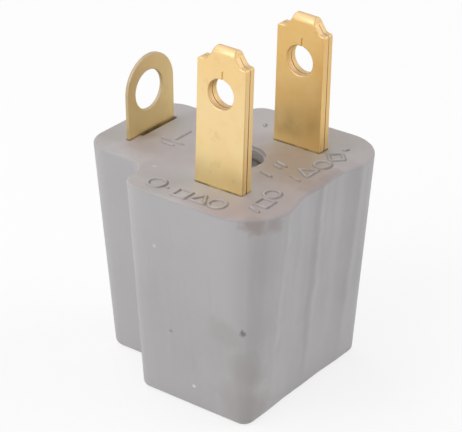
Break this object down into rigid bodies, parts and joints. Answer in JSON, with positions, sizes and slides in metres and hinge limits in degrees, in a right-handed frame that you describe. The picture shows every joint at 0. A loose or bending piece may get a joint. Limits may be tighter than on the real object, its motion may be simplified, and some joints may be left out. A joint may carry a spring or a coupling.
{
  "type": "grounding plug adapter",
  "caption": "Three-hole socket to two-blade plug adapter: grey drafted body with a fluted grip side, folded brass blades and a ring tab for the earth screw.",
  "frame": {"origin": "midway between the two blades' centre lines, on the socket face, which the adapter stands on", "axes": "+Z from the socket face to the blades' tips, +X from the near blade to the far blade, +Y towards the ring tab"},
  "size_m": [0.0236, 0.027, 0.0403],
  "materials": {
    "housing_plastic": "moulded, warm neutral grey, satin-matte",
    "cover_plastic": "moulded, warm neutral grey, satin-matte",
    "blade_brass": "rolled and stamped, bright, lightly scratched",
    "ground_brass": "rolled and stamped, a little duller than the blades",
    "rivet_steel": "plated, dull"
  },
  "bodies": {
    "root": {"housing": "housing_plastic", "socket_cover": "cover_plastic", "near_blade_contact": "blade_brass", "far_blade_contact": "blade_brass", "ground_contact": "ground_brass", "cover_rivet": "rivet_steel"}
  },
  "joints": []
}
